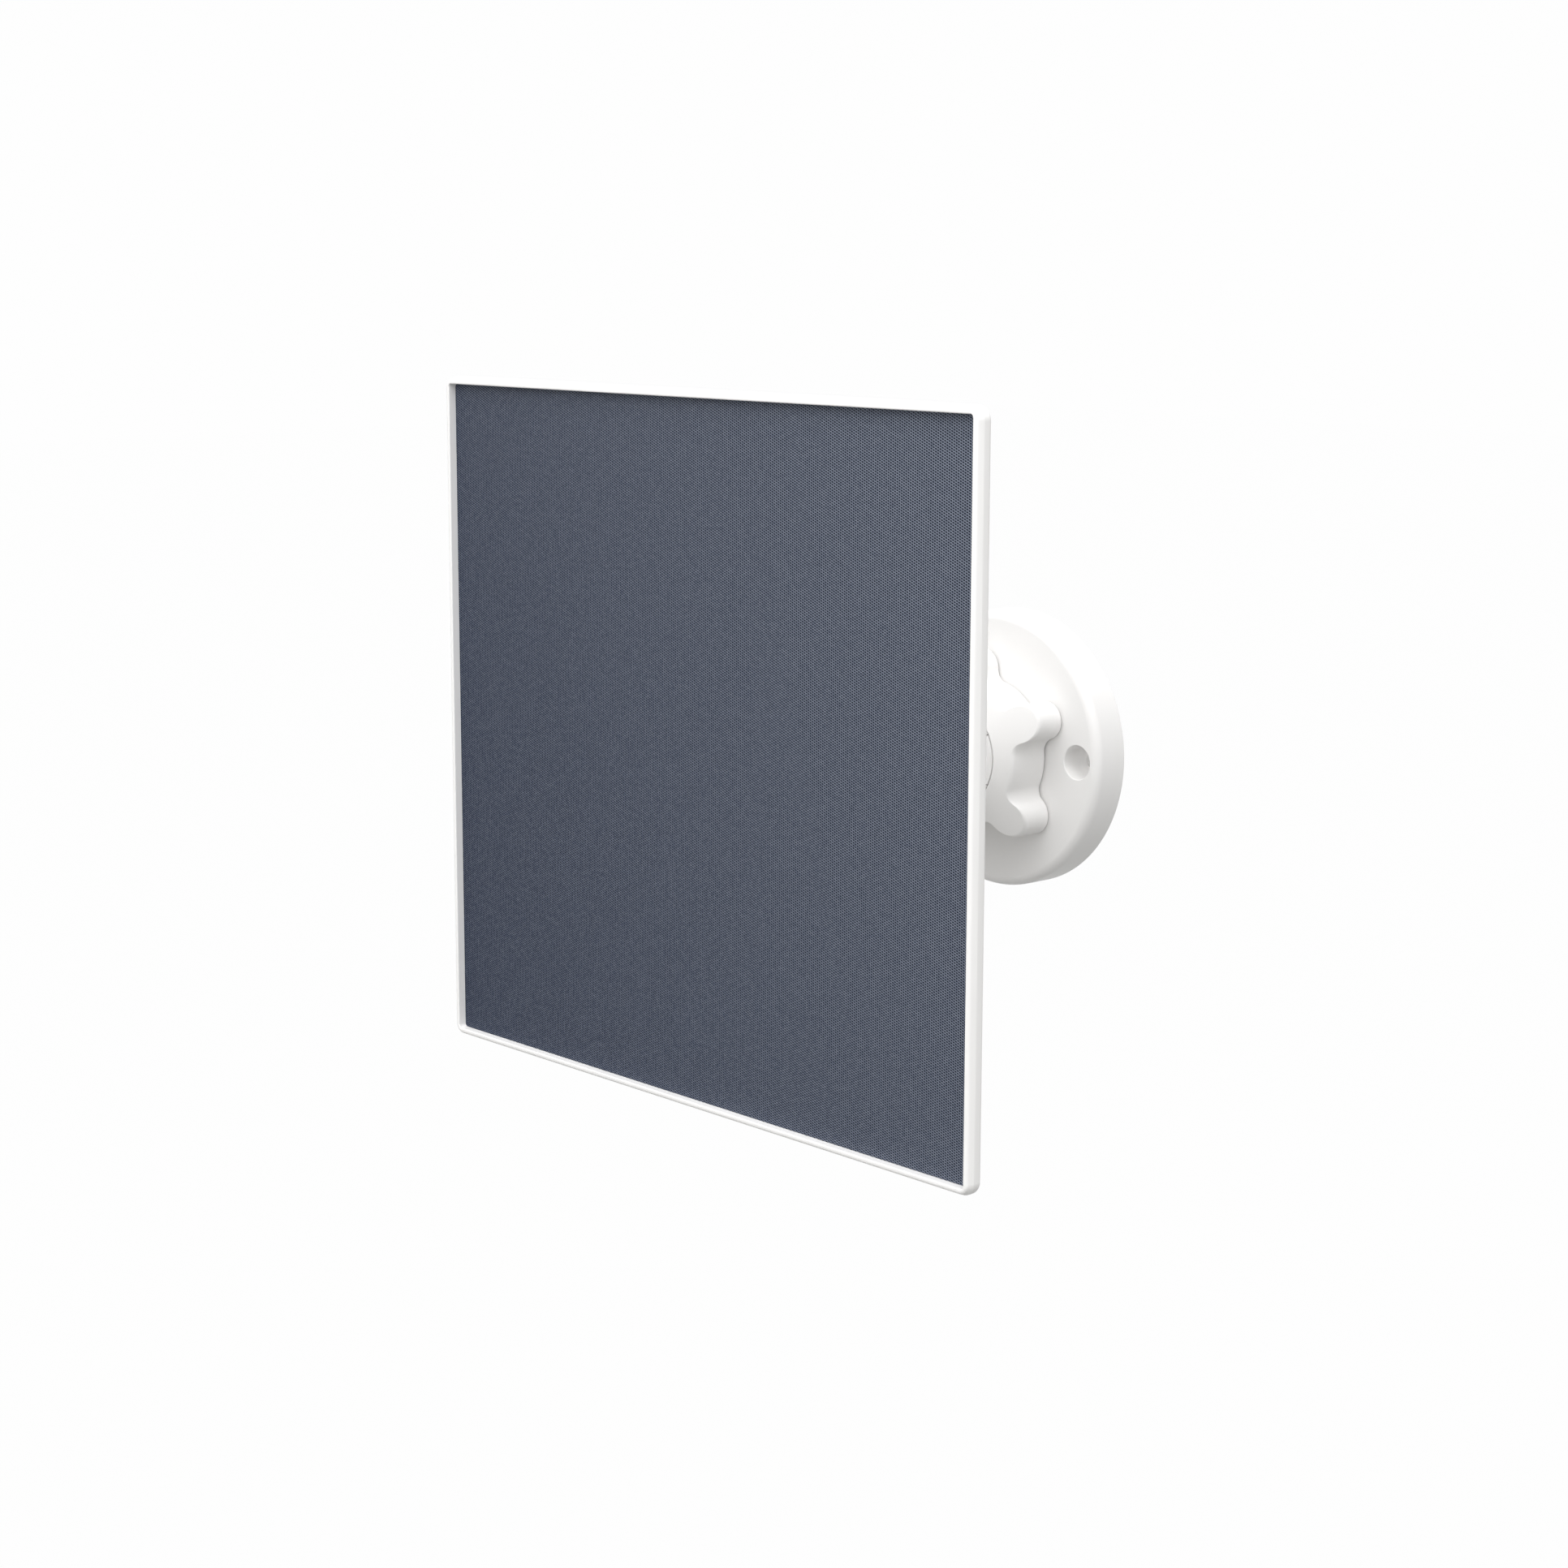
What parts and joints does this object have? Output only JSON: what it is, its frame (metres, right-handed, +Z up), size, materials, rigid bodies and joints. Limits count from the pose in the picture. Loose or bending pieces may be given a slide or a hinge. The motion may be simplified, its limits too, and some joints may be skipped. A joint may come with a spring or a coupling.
{
  "type": "solar panel with ball-joint wall bracket",
  "caption": "Thin framed solar panel on an arm with a ball joint, clamped by a lobed lock ring on a round wall plate.",
  "frame": {"origin": "centre of the wall plate's back, on the wall plane and on the bracket's axis", "axes": "+Y into the wall along the bracket's axis, +X to the right seen from the panel's front, +Z up"},
  "size_m": [0.1846, 0.1111, 0.1667],
  "materials": {
    "white_abs": "white moulded plastic, fine satin texture",
    "textured_film": "grey-blue film with a fine lattice of dots",
    "silicon": "dark blue-black cell under a clear coat",
    "glass_fibre_board": "pale green-brown laminate",
    "bonding_tape": "black foam tape",
    "black_rubber": "matt black moulded rubber",
    "grey_rubber": "grey friction pad",
    "stainless_steel": "turned and passivated",
    "brass": "turned",
    "green_circuit_board": "solder-masked laminate",
    "black_epoxy": "moulded package",
    "tinned_copper": "tinned wire"
  },
  "bodies": {
    "bracket": {"wall_plate": "white_abs"},
    "lock_ring": {"lock_ring": "white_abs"},
    "ball_seat": {"ball_seat": "grey_rubber"},
    "stem": {"ball_stem": "white_abs", "stem_stud": "stainless_steel"},
    "jam_wheel": {"jam_wheel": "white_abs"},
    "panel": {"panel_tray": "white_abs", "cover_film": "textured_film", "backing_board": "glass_fibre_board", "board_tape": "bonding_tape", "rear_housing": "white_abs", "housing_gasket": "black_rubber", "threaded_insert": "brass", "grip_washer": "black_rubber", "cable_gland": "black_rubber", "regulator_board": "green_circuit_board", "blocking_diode": "black_epoxy", "positive_lead": "tinned_copper", "negative_lead": "tinned_copper", "solar_cell_01": "silicon", "solar_cell_02": "silicon", "solar_cell_03": "silicon", "solar_cell_04": "silicon", "solar_cell_05": "silicon", "solar_cell_06": "silicon", "solar_cell_07": "silicon", "solar_cell_08": "silicon", "solar_cell_09": "silicon", "solar_cell_10": "silicon", "solar_cell_11": "silicon", "solar_cell_12": "silicon", "cover_screw_1": "stainless_steel", "cover_screw_2": "stainless_steel", "cover_screw_3": "stainless_steel", "cover_screw_4": "stainless_steel"}
  },
  "joints": [
    {"name": "lock_ring_turn", "type": "hinge", "parent": "bracket", "child": "lock_ring", "pos_m": [0, -0.0104, 0], "axis": [0, -1, 0], "range_deg": [0, 180]},
    {"name": "ball_spin", "type": "hinge", "parent": "bracket", "child": "ball_seat", "pos_m": [0, -0.0175, 0], "axis": [0, -1, 0], "continuous": true},
    {"name": "ball_tilt", "type": "hinge", "parent": "ball_seat", "child": "stem", "pos_m": [0, -0.0175, 0], "axis": [-1, 0, 0], "range_deg": [-35, 35]},
    {"name": "jam_wheel_turn", "type": "hinge", "parent": "stem", "child": "jam_wheel", "pos_m": [0, -0.0807, 0], "axis": [0, -1, 0], "continuous": true},
    {"name": "panel_roll", "type": "hinge", "parent": "stem", "child": "panel", "pos_m": [0, -0.0807, 0], "axis": [0, -1, 0], "continuous": true}
  ]
}
